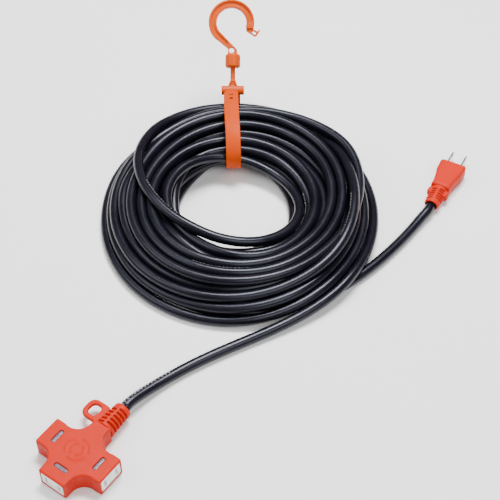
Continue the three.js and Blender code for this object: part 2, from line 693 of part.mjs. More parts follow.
// The hook's flat outline: a round bow, a straight shank down to the neck, and a small eye at the tip.
function hookOutline() {
  const outer = HOOK.r + HOOK.wide / 2;
  const inner = HOOK.r - HOOK.wide / 2;
  const shape = new THREE.Shape();
  shape.moveTo(NECK.left, BARREL.to - 1);
  shape.lineTo(NECK.right, BARREL.to - 1);
  shape.lineTo(NECK.right, NECK.shoulder);
  shape.quadraticCurveTo(NECK.right, NECK.shoulder + 1.5, NECK.right - 1.4, NECK.shoulder + 2.5);
  shape.absarc(HOOK.cx, HOOK.cy, inner, rad(HOOK.end), rad(HOOK.start), true);
  const [insideEnd, control, catchStart] = TIP.inside;
  shape.lineTo(...insideEnd);
  shape.quadraticCurveTo(...control, ...catchStart);
  for (const point of TIP.catch) {
    shape.lineTo(...point);
  }
  shape.absarc(HOOK.cx, HOOK.cy, outer, rad(HOOK.start), rad(HOOK.end), false);
  shape.lineTo(NECK.left, NECK.blend);
  const eye = new THREE.Path();
  eye.absarc(...NECK.eye, NECK.eyeR, 0, 2 * Math.PI, true);
  const tipEye = new THREE.Path(TIP.eye.map((point) => new THREE.Vector2(...point)));
  shape.holes.push(eye, tipEye);
  return shape;
}

function hook() {
  const bow = slab(hookOutline(), -HOOK.thick / 2, HOOK.thick / 2, 0, 22);
  return join(barrel(), bow);
}
add(hanger, 'hook', hook(), BAND_ORANGE);

export default object;
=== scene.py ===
"""Extension cord: a three-way cross tap, a coiled black cord, a two-blade plug and a hanging hook.

Lengths inside a piece's own drawing are millimetres in the CAD's local frames; placed() turns them
into metres in the row frame.
"""
import math

import bmesh
import bpy
import numpy as np
from mathutils import Matrix, Vector


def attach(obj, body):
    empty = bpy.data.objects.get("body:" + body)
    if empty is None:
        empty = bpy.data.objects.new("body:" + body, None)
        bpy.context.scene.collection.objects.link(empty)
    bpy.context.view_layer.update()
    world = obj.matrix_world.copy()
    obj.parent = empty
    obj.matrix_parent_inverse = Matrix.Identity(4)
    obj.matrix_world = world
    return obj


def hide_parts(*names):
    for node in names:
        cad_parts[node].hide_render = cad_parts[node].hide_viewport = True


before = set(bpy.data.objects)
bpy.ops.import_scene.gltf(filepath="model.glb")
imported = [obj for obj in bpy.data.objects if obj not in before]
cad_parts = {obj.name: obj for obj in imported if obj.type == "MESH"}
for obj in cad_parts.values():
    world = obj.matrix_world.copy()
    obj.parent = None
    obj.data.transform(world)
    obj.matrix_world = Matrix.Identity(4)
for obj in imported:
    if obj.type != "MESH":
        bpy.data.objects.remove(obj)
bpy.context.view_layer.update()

MM = 0.001

# ------------------------------------------------------------------ camera
TARGET = Vector((0.1275, 0.2147, 0.0))
DISTANCE = 1.036
ELEVATION = math.radians(48)
LENS_MM = 85.5
camera_data = bpy.data.cameras.new("camera")
camera_data.sensor_width = 36
camera_data.lens = LENS_MM
camera = bpy.data.objects.new("camera", camera_data)
bpy.context.collection.objects.link(camera)
camera.location = TARGET + DISTANCE * Vector((0, -math.cos(ELEVATION), math.sin(ELEVATION)))
camera.rotation_euler = (TARGET - camera.location).to_track_quat("-Z", "Y").to_euler()
bpy.context.scene.camera = camera

# ------------------------------------------------------------------ cord: planned route
CORD_D = 0.0088
CORD_R = CORD_D / 2
COIL_AT = np.array([0.118, 0.2487])
STRETCH = 1.085
STEP = 0.0075  # length of one piece of the relaxed line

TAP_TURN = math.radians(54.3)
TAP_MID = 8.75
PLUG_AT = (299.1, 280.7, 7.1)
PLUG_TURN = math.radians(62.4)
TAP_BOOT_END = 51.9
PLUG_BOOT_END = 21.0


def from_tap(distance):
    return (distance * math.cos(TAP_TURN), distance * math.sin(TAP_TURN), TAP_MID)


def from_plug(distance):
    return (
        PLUG_AT[0] - distance * math.cos(PLUG_TURN),
        PLUG_AT[1] - distance * math.sin(PLUG_TURN),
        PLUG_AT[2],
    )


TAP_TAIL = [
    from_tap(TAP_BOOT_END - 0.1), from_tap(61.2), (49, 63.5, 6), (64.2, 77, 4.4), (81.2, 88.8, 4.4),
    (99.3, 100.8, 4.4), (124, 117, 4.4), (156.4, 137.4, 4.4), (177.5, 151.3, 5), (196.4, 165.2, 9),
    (210, 178, 14), (222, 197, 15), (230, 217, 13),
]
PLUG_TAIL = [
    (184, 159.5, 4.4), (199, 166, 4.4), (213.5, 173, 4.4), (224.5, 181, 4.4), (237, 192, 4.4),
    (248.4, 205, 4.4), (258.2, 218, 4.4), (268.5, 232.5, 4.4), (278.5, 246.8, 5.6), from_plug(29),
    from_plug(PLUG_BOOT_END - 0.1),
]

# (turns wound so far, lane across the bundle in mm, layer). The first turns are the loose ones.
LANES = np.array([
    (0.10, 28, 1.0), (0.17, 30, 0.5), (0.25, 30, 0.2), (0.37, 26, 0), (0.5, 29, 0), (0.68, 36, 0),
    (0.8, 36, 0), (0.92, 26, 0.6), (1.0, 20, 1.8), (1.1, 21, 2.8), (1.3, 24, 3.4), (1.483, 27.8, 3.9),
    (1.517, 23.5, 4.1), (1.542, 16, 4.2), (1.589, 3, 4.3), (1.63, -14, 4.3), (1.683, -29, 4.2),
    (1.753, -34, 4.1), (1.833, -34, 4.0), (1.9, -33, 3.8), (2.0, -31.5, 3.5), (2.4, -26, 3.1),
    (3, -16, 3), (4, -7, 3), (5, 2, 3), (6, 11, 3), (7, 19, 2.9), (7.5, 20, 2.2), (8, 15, 2),
    (9, 6, 2), (10, -3, 2), (11, -12, 2), (12, -21, 2), (12.6, -26, 1.7), (13, -26, 1),
    (14, -17, 1), (15, -8, 1), (16, 1, 1), (17, 10, 1), (18, 19, 1), (18.3, 20, 0.8),
    (19, -29, 0.1), (20, -20, 0), (21, -11, 0), (22, -2, 0), (23, 7, 0), (24, 16, 0), (24.9, 20, 0),
])
COIL_START = math.radians(-43)
WANDER = 0.0035  # how far a turn strays from its planned lane
LAYER_HIGH, TOP_ABOVE = 0.010, 0.009  # the layers start this far apart, and fall together


def coil_point(angle, lane, z):
    """A point of the coil, where `lane` metres is measured outwards from the middle of its bundle."""
    c, s = np.cos(angle), np.sin(angle)
    left, right = np.clip(-c, 0, 1) ** 2, np.clip(c, 0, 1) ** 2
    far, near = np.clip(s, 0, 1) ** 2, np.clip(-s, 0, 1) ** 2
    # the radius of the bundle's middle on each side, and how much wider it lies there than planned
    middle = 0.0895 * left + 0.0940 * far + 0.0822 * near + 0.0880 * right
    spread = 0.70 * left + 1.30 * far + 0.98 * near + 0.86 * right
    radius = middle + spread * lane
    return np.stack([COIL_AT[0] + radius * c, COIL_AT[1] + STRETCH * radius * s, z], axis=-1)


def smoothed(values, width):
    """A running mean with a bell-shaped window of about `width` samples."""
    window = np.hanning(2 * (width // 2) + 3)[1:-1]
    window /= window.sum()
    half = len(window) // 2
    padded = np.concatenate([np.full(half, values[0]), values, np.full(half, values[-1])])
    return np.convolve(padded, window, "valid")


def planned_route():
    rng = np.random.default_rng(5)
    turns = np.linspace(LANES[0, 0], LANES[-1, 0], 3800)
    lane = smoothed(np.interp(turns, LANES[:, 0], LANES[:, 1]) * MM, 60)
    layer = smoothed(np.interp(turns, LANES[:, 0], LANES[:, 2]), 60)
    drift = np.zeros_like(turns)
    for rate in (0.83, 1.37, 2.21):
        drift += rng.uniform(0.6, 1.0) * np.sin(2 * np.pi * (rate * turns + rng.uniform())) / rate
    settled = np.clip((turns - 2.2) / 0.4, 0, 1) * np.clip((turns[-1] - 0.3 - turns) / 0.4, 0, 1)
    lane = lane + WANDER * drift * settled
    raised = np.clip((layer - 0.3) / 0.5, 0, 1) * np.clip((turns - 1.0) / 0.3, 0, 1)
    z = CORD_R + LAYER_HIGH * layer + TOP_ABOVE * raised
    coil = coil_point(COIL_START + 2 * np.pi * turns, lane, z)
    return np.concatenate([np.array(TAP_TAIL) * MM, coil, np.array(PLUG_TAIL) * MM])


def evenly(line, count):
    """The line with `count` evenly spaced points, and its length."""
    along = np.concatenate([[0], np.cumsum(np.linalg.norm(np.diff(line, axis=0), axis=1))])
    at = np.linspace(0, along[-1], count)
    return np.stack([np.interp(at, along, line[:, k]) for k in range(3)], 1), along[-1]


def softened(line, reach):
    """The line with its corners rounded over `reach` points, except at its two ends."""
    window = np.hanning(2 * reach + 3)[1:-1]
    window /= window.sum()
    soft = line.copy()
    soft[reach:-reach] = np.stack([np.convolve(line[:, k], window, "valid") for k in range(3)], 1)
    from_end = np.minimum(np.arange(len(line)), len(line) - 1 - np.arange(len(line)))
    weight = np.clip((from_end - reach) / reach, 0, 1)[:, None]
    return line * (1 - weight) + soft * weight


# ------------------------------------------------------------------ cord: relaxed under its own weight
STRAP_X = 0.1115
BUNDLE_AT = (0.34327, 0.0243)  # the strap's oval in the YZ plane
BUNDLE_HALF = (0.0425, 0.0220)
HELD_HALF, HELD_FADE = 0.009, 0.035  # the strap holds the bundle this far to each side, then less
LIFT, LIFT_WIDE = 0.0026, 0.022  # the strap runs under the cord and lifts it off the floor
SLACK = 0.0002
LOOK_PAST = 0.010  # pieces of cord nearer than this are tested for touching


def near_pairs(line, reach):
    middle = (line[1:] + line[:-1]) / 2
    squares = (middle * middle).sum(1)
    apart = squares[:, None] + squares[None, :] - 2 * middle @ middle.T
    return np.nonzero(np.triu(apart < reach * reach, 5))


def closest(p1, q1, p2, q2):
    """Where two segments come closest, as a share of each."""
    d1, d2, r = q1 - p1, q2 - p2, p1 - p2
    a, e, b = (d1 * d1).sum(1), (d2 * d2).sum(1), (d1 * d2).sum(1)
    c, f = (d1 * r).sum(1), (d2 * r).sum(1)
    size = a * e - b * b
    s = np.where(size > 1e-14, np.clip((b * f - c * e) / np.maximum(size, 1e-14), 0, 1), 0.5)
    t = np.clip((b * s + f) / e, 0, 1)
    return np.clip((b * t - c) / a, 0, 1), t


def straightened(line, gap, strength):
    """Bending stiffness: evens out the curvature over `gap` points."""
    inner = slice(2 * gap, -2 * gap)
    bend = (line[:-4 * gap] - 4 * line[gap:-3 * gap] + 6 * line[inner]
            - 4 * line[3 * gap:-gap] + line[4 * gap:])
    line[inner] -= strength * bend


def relax(line, length, rounds):
    """Lets the line fall, bend and pile up on itself, on the floor and inside the strap."""
    count = len(line)
    piece = length / (count - 1)
    start = line.copy()
    held = 4
    behind = line[:, 1] > COIL_AT[1]
    for step in range(rounds):
        share = step / rounds
        ending = share > 0.8
        if step % 8 == 0:
            i, j = near_pairs(line, CORD_D + LOOK_PAST)
        # it falls fast, then slower, and settles at the end
        line[:, 2] -= 0.0006 if share < 0.3 else 0.00008 if ending else 0.0003
        straightened(line, 1, 0.055)
        straightened(line, 2, 0.05)
        straightened(line, 4, 0.06)
        line[:, :2] += (0.005 if ending else 0.03) * (start[:, :2] - line[:, :2])
        for _ in range(7 if ending else 3):
            d = line[1:] - line[:-1]
            size = np.linalg.norm(d, axis=1, keepdims=True)
            pull = 0.45 * (size - piece) / size * d
            line[:-1] += pull
            line[1:] -= pull
            s, t = closest(line[i], line[i + 1], line[j], line[j + 1])
            s, t = s[:, None], t[:, None]
            between = line[i] + s * (line[i + 1] - line[i]) - line[j] - t * (line[j + 1] - line[j])
            apart = np.linalg.norm(between, axis=1, keepdims=True)
            push = 0.31 * np.maximum(CORD_D * 1.004 - apart, 0) * between / np.maximum(apart, 1e-9)
            for index, share_of in ((i, 1 - s), (i + 1, s), (j, t - 1), (j + 1, -t)):
                for k in range(3):
                    line[:, k] += np.bincount(index, (share_of * push)[:, k], count)
            beside = np.maximum(np.abs(line[:, 0] - STRAP_X) - HELD_HALF, 0) / HELD_FADE
            room = 1 + beside * beside
            y = (line[:, 1] - BUNDLE_AT[0]) / (BUNDLE_HALF[0] - CORD_R - SLACK)
            z = (line[:, 2] - BUNDLE_AT[1]) / (BUNDLE_HALF[1] - CORD_R - SLACK)
            out = np.sqrt(y * y + z * z) / room
            near = behind & (beside < 1) & (out > 1)
            back = np.where(near, 0.5 + 0.5 / np.maximum(out, 1), 1)
            line[:, 1] = BUNDLE_AT[0] + (line[:, 1] - BUNDLE_AT[0]) * back
            line[:, 2] = BUNDLE_AT[1] + (line[:, 2] - BUNDLE_AT[1]) * back
            lift = LIFT * np.exp(-((line[:, 0] - STRAP_X) / LIFT_WIDE) ** 2) * behind
            line[:, 2] = np.maximum(line[:, 2], CORD_R + lift)
            line[:held] = start[:held]
            line[-held:] = start[-held:]
    return line


def cord_line():
    route = planned_route()
    _, length = evenly(route, 2)
    line, length = evenly(route, int(length / STEP))
    line, length = evenly(softened(line, 4), int(length / STEP))
    return softened(relax(line, length, 320), 2)


def subdivided(line, parts):
    """A smooth curve through the points, with each stretch between two of them cut into `parts`."""
    ends = np.concatenate([[2 * line[0] - line[1]], line, [2 * line[-1] - line[-2]]])
    p0, p1, p2, p3 = ends[:-3], ends[1:-2], ends[2:-1], ends[3:]
    rows = []
    for k in range(parts):
        t = k / parts
        rows.append(0.5 * (2 * p1 + (p2 - p0) * t + (2 * p0 - 5 * p1 + 4 * p2 - p3) * t * t
                           + (3 * p1 - p0 - 3 * p2 + p3) * t ** 3))
    return np.concatenate([np.stack(rows, 1).reshape(-1, 3), line[-1:]])


# ------------------------------------------------------------------ mesh helpers
def mesh_object(name, verts, faces, smooth=True):
    mesh = bpy.data.meshes.new(name)
    mesh.from_pydata([tuple(map(float, v)) for v in verts], [], [tuple(map(int, f)) for f in faces])
    mesh.update()
    for polygon in mesh.polygons:
        polygon.use_smooth = smooth
    obj = bpy.data.objects.new(name, mesh)
    bpy.context.collection.objects.link(obj)
    return obj


def modified(obj, *modifiers):
    """Applies modifiers, each given as (type, {setting: value})."""
    for kind, settings in modifiers:
        modifier = obj.modifiers.new(kind, kind)
        for key, value in settings.items():
            setattr(modifier, key, value)
    graph = bpy.context.evaluated_depsgraph_get()
    mesh = bpy.data.meshes.new_from_object(obj.evaluated_get(graph))
    obj.modifiers.clear()
    old = obj.data
    obj.data = mesh
    bpy.data.meshes.remove(old)
    return obj


def combined(obj, others, operation):
    for other in others:
        modified(obj, ("BOOLEAN", {"object": other, "operation": operation, "solver": "MANIFOLD"}))
        bpy.data.objects.remove(other)
    return obj


def cut(obj, *others):
    return combined(obj, others, "DIFFERENCE")


def joined(obj, *others):
    return combined(obj, others, "UNION")


def moulded(obj, voxel, smoothing):
    """Rebuilds a solid as an even mesh whose edges are softly rounded, as a moulded part's are."""
    modified(
        obj,
        ("REMESH", {"mode": "VOXEL", "voxel_size": voxel, "use_smooth_shade": True}),
        ("SMOOTH", {"factor": 0.5, "iterations": smoothing}),
    )
    return obj


def crisp(obj, width, angle=35):
    """Small bevels on a machined or thin part's edges, flat faces kept flat."""
    modified(obj, ("BEVEL", {
        "width": width, "segments": 2, "limit_method": "ANGLE", "angle_limit": math.radians(angle),
        "use_clamp_overlap": True,
    }))
    for polygon in obj.data.polygons:
        polygon.use_smooth = True
    obj.data.set_sharp_from_angle(angle=math.radians(30))
    return obj


def turned(obj, matrix):
    obj.data.transform(matrix)
    return obj


def placed(obj, matrix, name):
    """Moves a piece drawn in millimetres in a local frame to the row frame in metres."""
    obj.data.transform(matrix @ Matrix.Scale(MM, 4))
    obj.name = name
    obj.data.name = name
    return obj


def arc(cx, cy, r, start, end, count):
    """Points of an arc, angles in degrees."""
    return [
        (cx + r * math.cos(math.radians(a)), cy + r * math.sin(math.radians(a)))
        for a in np.linspace(start, end, count)
    ]


def rounded_rectangle(x0, x1, y0, y1, r, count=7):
    return (
        arc(x1 - r, y0 + r, r, -90, 0, count) + arc(x1 - r, y1 - r, r, 0, 90, count)
        + arc(x0 + r, y1 - r, r, 90, 180, count) + arc(x0 + r, y0 + r, r, 180, 270, count)
    )


def pill(long, wide, cx, cy):
    r = wide / 2
    straight = long / 2 - r
    return arc(cx, cy + straight, r, 0, 180, 12) + arc(cx, cy - straight, r, 180, 360, 12)


def inset(outline, distance):
    """The outline moved inwards by `distance`, or outwards if it is negative."""
    p = np.array(outline, float)
    keep = np.linalg.norm(p - np.roll(p, 1, axis=0), axis=1) > 1e-6
    p = p[keep]
    before, after = p - np.roll(p, 1, axis=0), np.roll(p, -1, axis=0) - p
    n1 = np.stack([-before[:, 1], before[:, 0]], 1) / np.linalg.norm(before, axis=1)[:, None]
    n2 = np.stack([-after[:, 1], after[:, 0]], 1) / np.linalg.norm(after, axis=1)[:, None]
    mitre = n1 + n2
    mitre /= np.maximum((mitre * n1).sum(1), 0.3)[:, None]
    return p + distance * mitre


def prism(outline, levels):
    """A solid stacked from copies of a counter-clockwise outline, one for each (z, inset) level."""
    verts, faces = [], []
    for z, distance in levels:
        verts += [(x, y, z) for x, y in inset(outline, distance)]
    n = len(verts) // len(levels)
    for k in range(len(levels) - 1):
        for i in range(n):
            a, b = k * n + i, k * n + (i + 1) % n
            faces.append((a, b, b + n, a + n))
    faces.append(tuple(reversed(range(n))))
    faces.append(tuple(range(n * (len(levels) - 1), n * len(levels))))
    return mesh_object("prism", verts, faces)


def rounded_levels(z0, z1, edge, steps):
    """Levels whose top and bottom edges are rounded by `edge`."""
    angles = np.linspace(0, math.pi / 2, steps + 1)
    low = [(z0 + edge * (1 - math.sin(a)), edge * (1 - math.cos(a))) for a in angles[::-1]]
    high = [(z1 - edge * (1 - math.sin(a)), edge * (1 - math.cos(a))) for a in angles]
    return low + high


def slab(outline, z0, z1, edge=0.0, steps=5):
    return prism(outline, rounded_levels(z0, z1, edge, steps) if edge else [(z0, 0), (z1, 0)])


def flared(outline, z0, z1, edge, steps=4):
    """A cutter whose opening widens smoothly at both of its ends, by `edge`."""
    angles = np.linspace(0, math.pi / 2, steps + 1)
    low = [(z0 + edge * (1 - math.cos(a)), -edge * (1 - math.sin(a))) for a in angles]
    high = [(z1 - edge * (1 - math.cos(a)), -edge * (1 - math.sin(a))) for a in angles[::-1]]
    return prism(outline, [(z0 - 1, -edge)] + low + high + [(z1 + 1, -edge)])


def box(low, high):
    outline = [(low[0], low[1]), (high[0], low[1]), (high[0], high[1]), (low[0], high[1])]
    return prism(outline, [(low[2], 0), (high[2], 0)])


TO_X = Matrix(((0, 0, 1, 0), (1, 0, 0, 0), (0, 1, 0, 0), (0, 0, 0, 1)))  # drawn XY becomes YZ, Z becomes X
TO_Y = Matrix(((1, 0, 0, 0), (0, 0, -1, 0), (0, 1, 0, 0), (0, 0, 0, 1)))  # drawn Y becomes Z


def rod(r, x0, x1, y=0.0, z=0.0, edge=0.0, sides=48):
    """A round bar along X."""
    return turned(slab(arc(y, z, r, 0, 360 - 360 / sides, sides), x0, x1, edge), TO_X)


def revolved(profile, sides, radius):
    """A ring swept round the X axis from a closed profile of (x, r) points, as seen with x to the right.

    `radius(x, r, angle)` gives each point's radius by where it stands.
    """
    verts, faces = [], []
    for k in range(sides):
        angle = 2 * math.pi * k / sides
        for x, r in profile:
            r = radius(x, r, angle)
            verts.append((x, r * math.cos(angle), r * math.sin(angle)))
    n = len(profile)
    for k in range(sides):
        for i in range(n):
            a, b = k * n + i, k * n + (i + 1) % n
            c, d = (a + n) % len(verts), (b + n) % len(verts)
            faces.append((a, c, d, b))
    return outward(mesh_object("revolved", verts, faces))


def outward(obj):
    """Turns all faces outwards."""
    mesh = bmesh.new()
    mesh.from_mesh(obj.data)
    bmesh.ops.recalc_face_normals(mesh, faces=mesh.faces)
    mesh.to_mesh(obj.data)
    mesh.free()
    return obj


def tube(line, r, sides, name):
    """A tube with UVs along a dense line: u is metres along it, v goes once round it."""
    tangent = np.gradient(line, axis=0)
    tangent /= np.linalg.norm(tangent, axis=1)[:, None]
    side = np.cross(tangent[0], (0, 0, 1))
    side /= np.linalg.norm(side)
    sides_along = np.empty_like(line)
    for k, t in enumerate(tangent):
        side = side - t * side.dot(t)
        side /= np.linalg.norm(side)
        sides_along[k] = side
    up = np.cross(tangent, sides_along)
    angles = 2 * np.pi * np.arange(sides) / sides
    rings = (line[:, None] + r * (np.cos(angles)[None, :, None] * sides_along[:, None]
                                  + np.sin(angles)[None, :, None] * up[:, None]))
    count = len(line)
    a = (np.arange(count - 1)[:, None] * sides + np.arange(sides)[None]).ravel()
    b = (np.arange(count - 1)[:, None] * sides + (np.arange(sides)[None] + 1) % sides).ravel()
    faces = np.stack([a, b, b + sides, a + sides], 1).tolist()
    faces.append(list(range(sides))[::-1])
    faces.append(list(range((count - 1) * sides, count * sides)))
    obj = mesh_object(name, rings.reshape(-1, 3), faces)
    along = np.concatenate([[0], np.cumsum(np.linalg.norm(np.diff(line, axis=0), axis=1))])
    u = np.repeat(along[:-1], sides)
    u_next = np.repeat(along[1:], sides)
    v = np.tile(np.arange(sides) / sides, count - 1)
    corners = np.zeros((len(obj.data.loops), 2), np.float32)
    used = 4 * (count - 1) * sides
    corners[:used] = np.stack([
        np.stack([u, u, u_next, u_next], 1), np.stack([v, v + 1 / sides, v + 1 / sides, v], 1),
    ], 2).reshape(-1, 2)
    layer = obj.data.uv_layers.new(name="along")
    layer.data.foreach_set("uv", corners.ravel())
    return obj


# ------------------------------------------------------------------ materials
def srgb(r, g, b):
    """A colour given in 0-255 display values, as a linear RGBA colour."""
    def linear(v):
        v /= 255
        return v / 12.92 if v <= 0.04045 else ((v + 0.055) / 1.055) ** 2.4
    return (linear(r), linear(g), linear(b), 1.0)


class Nodes:
    """A material under construction: every link goes through here."""

    def __init__(self, name):
        self.material = bpy.data.materials.new(name)
        self.material.use_nodes = True
        self.tree = self.material.node_tree
        self.shader = self.tree.nodes["Principled BSDF"]
        self.where = self.new("ShaderNodeTexCoord").outputs["Object"]

    def new(self, kind, **settings):
        node = self.tree.nodes.new(kind)
        for key, value in settings.items():
            setattr(node, key, value)
        return node

    def link(self, source, target):
        self.tree.links.new(source, target)

    def set(self, **values):
        for key, value in values.items():
            self.shader.inputs[key.replace("_", " ")].default_value = value

    def scaled(self, source, scale):
        node = self.new("ShaderNodeMapping")
        node.inputs["Scale"].default_value = scale
        self.link(source, node.inputs["Vector"])
        return node.outputs["Vector"]

    def noise(self, scale, detail=3.0, rough=0.5, source=None):
        node = self.new("ShaderNodeTexNoise")
        node.inputs["Scale"].default_value = scale
        node.inputs["Detail"].default_value = detail
        node.inputs["Roughness"].default_value = rough
        self.link(source or self.where, node.inputs["Vector"])
        return node.outputs["Fac"]

    def range(self, source, low, high, start=0.3, end=0.7):
        node = self.new("ShaderNodeMapRange")
        for key, value in (("From Min", start), ("From Max", end), ("To Min", low), ("To Max", high)):
            node.inputs[key].default_value = value
        self.link(source, node.inputs["Value"])
        return node.outputs["Result"]

    def math(self, operation, a, b=None):
        node = self.new("ShaderNodeMath", operation=operation)
        for socket, value in zip(node.inputs, (a, b)):
            if value is None:
                continue
            if isinstance(value, (int, float)):
                socket.default_value = value
            else:
                self.link(value, socket)
        return node.outputs["Value"]

    def mix(self, factor, first, second):
        node = self.new("ShaderNodeMix", data_type="RGBA")
        self.link(factor, node.inputs["Factor"])
        for socket, value in ((node.inputs[6], first), (node.inputs[7], second)):
            if isinstance(value, tuple):
                socket.default_value = value
            else:
                self.link(value, socket)
        return node.outputs[2]

    def colour(self, value):
        self.link(value, self.shader.inputs["Base Color"])

    def roughness(self, value):
        self.link(value, self.shader.inputs["Roughness"])

    def bump(self, height, strength, distance=0.0002, below=None):
        node = self.new("ShaderNodeBump")
        node.inputs["Strength"].default_value = strength
        node.inputs["Distance"].default_value = distance
        self.link(height, node.inputs["Height"])
        if below:
            self.link(below, node.inputs["Normal"])
        self.link(node.outputs["Normal"], self.shader.inputs["Normal"])
        return node.outputs["Normal"]


def shade(colour, factor):
    return tuple(min(1.0, c * factor) for c in colour[:3]) + (1.0,)


def plastic(name, colour, rough, grain=2600.0, bump=0.25, vary=0.07, spread=0.06, gloss=0.45):
    """Moulded plastic: cloudy colour, slightly uneven gloss and a fine grain."""
    m = Nodes(name)
    clouds = m.noise(55, 4, 0.55)
    m.colour(m.mix(m.range(clouds, 0, 1), shade(colour, 1 - vary), shade(colour, 1 + vary)))
    m.roughness(m.range(m.noise(240, 3), rough - spread, rough + spread))
    fine = m.bump(m.noise(grain, 2, 0.6), bump, 0.00012)
    m.bump(m.noise(130, 2), bump * 0.35, 0.0004, below=fine)
    m.set(Specular_IOR_Level=gloss)
    return m.material


def cord_material():
    """Glossy black PVC: a faint extrusion grain along the cord, smudges and small printed dashes."""
    m = Nodes("black_pvc_jacket")
    uv = m.new("ShaderNodeUVMap", uv_map="along").outputs["UV"]
    streaks = m.noise(1.0, 3, 0.6, source=m.scaled(uv, (14, 26, 1)))
    smudges = m.noise(34, 4, 0.6)
    base = m.mix(m.range(smudges, 0, 1), (0.0024, 0.0022, 0.0048, 1), (0.0050, 0.0046, 0.0090, 1))
    print_every, print_share, dash_every = 1.43, 0.036, 0.0034
    split = m.new("ShaderNodeSeparateXYZ")
    m.link(uv, split.inputs["Vector"])
    u, v = split.outputs["X"], split.outputs["Y"]
    group = m.math("LESS_THAN", m.math("FRACT", m.math("MULTIPLY", u, 1 / print_every)), print_share)
    row = m.math("LESS_THAN", m.math("ABSOLUTE", m.math("SUBTRACT", v, 0.70)), 0.017)
    dash = m.math("LESS_THAN", m.math("FRACT", m.math("MULTIPLY", u, 1 / dash_every)), 0.5)
    worn = m.math("GREATER_THAN", m.noise(1.0, 2, source=m.scaled(uv, (520, 30, 1))), 0.47)
    printed = m.math("MULTIPLY", m.math("MULTIPLY", group, row), m.math("MULTIPLY", dash, worn))
    ink = m.math("MULTIPLY", printed, 0.6)
    m.colour(m.mix(ink, base, (0.55, 0.55, 0.56, 1)))
    m.roughness(m.range(m.math("ADD", m.math("MULTIPLY", streaks, 0.5),
                               m.math("MULTIPLY", smudges, 0.5)), 0.24, 0.36, 0.35, 0.65))
    fine = m.bump(m.noise(900, 2), 0.12, 0.0001)
    m.bump(streaks, 0.2, 0.0003, below=fine)
    m.set(Specular_IOR_Level=0.30, Specular_Tint=(0.84, 0.86, 1.0, 1.0))
    return m.material


def strap_material(name, colour):
    """Satin moulded nylon with fine lines along the band."""
    m = Nodes(name)
    clouds = m.noise(70, 3)
    lines = m.noise(1.0, 2, 0.6, source=m.scaled(m.where, (1500, 30, 30)))
    m.colour(m.mix(m.range(clouds, 0, 1), shade(colour, 0.93), shade(colour, 1.06)))
    m.roughness(m.range(lines, 0.36, 0.52))
    fine = m.bump(lines, 0.3, 0.0002)
    m.bump(m.noise(2400, 2), 0.12, 0.0001, below=fine)
    m.set(Specular_IOR_Level=0.06)
    return m.material


def lens_material():
    """A milky window of smoked lilac plastic over the pilot lamp."""
    m = Nodes("window_lens")
    clouds = m.noise(420, 3)
    m.colour(m.mix(m.range(clouds, 0, 1), (0.135, 0.100, 0.140, 1), (0.215, 0.165, 0.215, 1)))
    m.roughness(m.range(m.noise(900, 2), 0.22, 0.34))
    m.bump(m.noise(1500, 2), 0.2, 0.0001)
    m.set(Specular_IOR_Level=0.25, Transmission_Weight=0.25, IOR=1.49,
          Subsurface_Weight=0.2, Subsurface_Scale=0.002)
    return m.material


def metal(name, colour, rough, brushed):
    """Plated metal with fine brushing and slight tarnish."""
    m = Nodes(name)
    lines = m.noise(1.0, 3, 0.6, source=m.scaled(m.where, brushed))
    tarnish = m.noise(160, 4)
    m.colour(m.mix(m.range(tarnish, 0, 1), shade(colour, 0.86), shade(colour, 1.04)))
    m.roughness(m.range(lines, rough - 0.07, rough + 0.09))
    m.bump(lines, 0.12, 0.00008)
    m.set(Metallic=1.0)
    return m.material


def lamp_material():
    m = Nodes("pilot_lamp_glass")
    bands = m.noise(1100, 2)
    m.colour(m.mix(m.range(bands, 0, 1), (0.52, 0.62, 0.5, 1), (0.72, 0.8, 0.68, 1)))
    m.roughness(m.range(m.noise(700, 2), 0.08, 0.18))
    m.set(Transmission_Weight=0.5, IOR=1.5)
    return m.material


ORANGE = plastic("orange_elastomer", (0.50, 0.013, 0.001, 1), 0.5, bump=0.3, vary=0.05, gloss=0.13)
BAND = strap_material("band_nylon", (0.53, 0.052, 0.0, 1))
HOOK_ORANGE = plastic("hook_nylon", (0.56, 0.066, 0.0, 1), 0.36, grain=1900, bump=0.14, gloss=0.16)
JACKET = cord_material()
JACKET_INNER = plastic("jacket_inner", (0.012, 0.012, 0.014, 1), 0.4)
WHITE = plastic("white_urea", srgb(238, 238, 236), 0.36, grain=1800, bump=0.12, vary=0.03)
LENS = lens_material()
NICKEL = metal("nickel_blade", (0.72, 0.72, 0.72, 1), 0.24, (300, 300, 2600))
BRASS = metal("contact_brass", (0.72, 0.5, 0.2, 1), 0.3, (2200, 300, 300))
CARRIER = plastic("grey_carrier", (0.26, 0.25, 0.23, 1), 0.5)
CORE_WHITE = plastic("white_core", (0.68, 0.68, 0.66, 1), 0.42)
CORE_BLACK = plastic("black_core", (0.016, 0.016, 0.017, 1), 0.42)
LAMP = lamp_material()

LOOKS = {
    "orange_moulding": ORANGE, "band_orange": HOOK_ORANGE, "cord_jacket": JACKET_INNER,
    "outlet_white": WHITE, "lens": LENS, "blade_metal": NICKEL, "contact_brass": BRASS,
    "carrier_plastic": CARRIER, "core_white": CORE_WHITE, "core_black": CORE_BLACK,
    "pilot_lamp": LAMP,
}


def finished(obj, material, slot, body, *nodes):
    """Gives a piece its material and its body, and lets it stand for its CAD nodes. `slot` is not used."""
    obj.data.materials.clear()
    obj.data.materials.append(material)
    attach(obj, body)
    if nodes:
        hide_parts(*nodes)
    return obj


# ------------------------------------------------------------------ cord
line = cord_line()
dense = subdivided(line, 2)
cord = tube(dense, CORD_R * 1.006, 16, "cord")
finished(cord, JACKET, "cord_jacket", "cord_set", "cord_to_tap", "cord_coil", "cord_to_plug")

